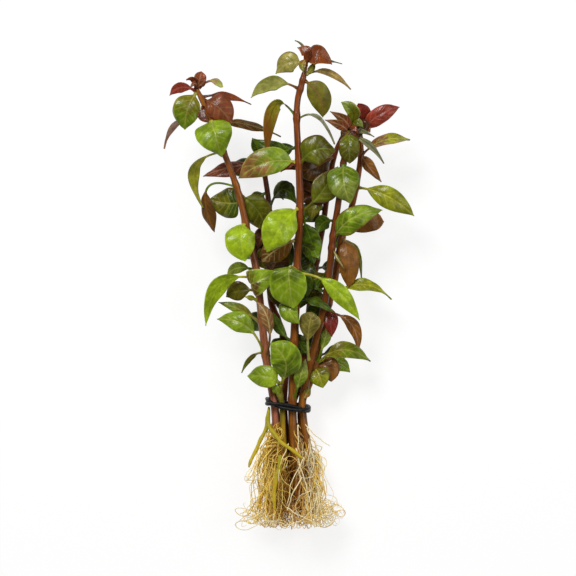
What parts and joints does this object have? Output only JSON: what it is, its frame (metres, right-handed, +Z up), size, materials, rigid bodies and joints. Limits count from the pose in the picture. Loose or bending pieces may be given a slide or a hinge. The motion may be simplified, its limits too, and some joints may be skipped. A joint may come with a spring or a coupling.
{
  "type": "ludwigia bunch",
  "caption": "Bunch of leafy red and green aquarium plant stems with thread roots, held by a twisted rubber tie and lying on its side.",
  "frame": {"origin": "middle of the footprint, on the surface that the bunch lies on", "axes": "+Y from the roots to the shoot tips, +X to the right seen from above, +Z up from the surface"},
  "size_m": [0.125, 0.245, 0.0518],
  "materials": {
    "leaf_lime": "satin",
    "leaf_green": "satin",
    "leaf_dark": "satin",
    "leaf_olive": "satin",
    "leaf_brown": "satin",
    "leaf_maroon": "satin",
    "leaf_crimson": "satin",
    "stem_red": "satin",
    "stem_green": "satin",
    "root": "matte",
    "runner": "matte",
    "tie": "satin"
  },
  "bodies": {
    "root": {"back_left_leaf_1": "leaf_maroon", "back_left_leaf_2": "leaf_dark", "back_left_leaf_3": "leaf_dark", "back_left_leaf_4": "leaf_dark", "back_left_stem": "stem_red", "back_right_leaf_1": "leaf_maroon", "back_right_leaf_2": "leaf_dark", "back_right_leaf_3": "leaf_dark", "back_right_stem": "stem_red", "floor_roots": "root", "front_roots": "root", "left_leaf_1": "leaf_green", "left_leaf_10": "leaf_green", "left_leaf_11": "leaf_green", "left_leaf_12": "leaf_lime", "left_leaf_13": "leaf_brown", "left_leaf_2": "leaf_brown", "left_leaf_3": "leaf_lime", "left_leaf_4": "leaf_olive", "left_leaf_5": "leaf_green", "left_leaf_6": "leaf_brown", "left_leaf_7": "leaf_olive", "left_leaf_8": "leaf_dark", "left_leaf_9": "leaf_lime", "left_roots": "root", "left_stem": "stem_red", "long_runner": "runner", "middle_leaf_1": "leaf_maroon", "middle_leaf_10": "leaf_dark", "middle_leaf_11": "leaf_green", "middle_leaf_12": "leaf_lime", "middle_leaf_2": "leaf_olive", "middle_leaf_3": "leaf_lime", "middle_leaf_4": "leaf_olive", "middle_leaf_5": "leaf_brown", "middle_leaf_6": "leaf_green", "middle_leaf_7": "leaf_dark", "middle_leaf_8": "leaf_lime", "middle_leaf_9": "leaf_green", "middle_stem": "stem_red", "outer_leaf_1": "leaf_crimson", "outer_leaf_2": "leaf_olive", "outer_leaf_3": "leaf_lime", "outer_leaf_4": "leaf_brown", "outer_leaf_5": "leaf_green", "outer_leaf_6": "leaf_brown", "outer_leaf_7": "leaf_green", "outer_leaf_8": "leaf_dark", "outer_stem": "stem_red", "right_leaf_1": "leaf_green", "right_leaf_2": "leaf_green", "right_leaf_3": "leaf_green", "right_leaf_4": "leaf_olive", "right_roots": "root", "right_stem": "stem_red", "short_leaf_1": "leaf_lime", "short_leaf_2": "leaf_green", "short_stem": "stem_green", "side_runner": "runner", "tie": "tie"}
  },
  "joints": []
}
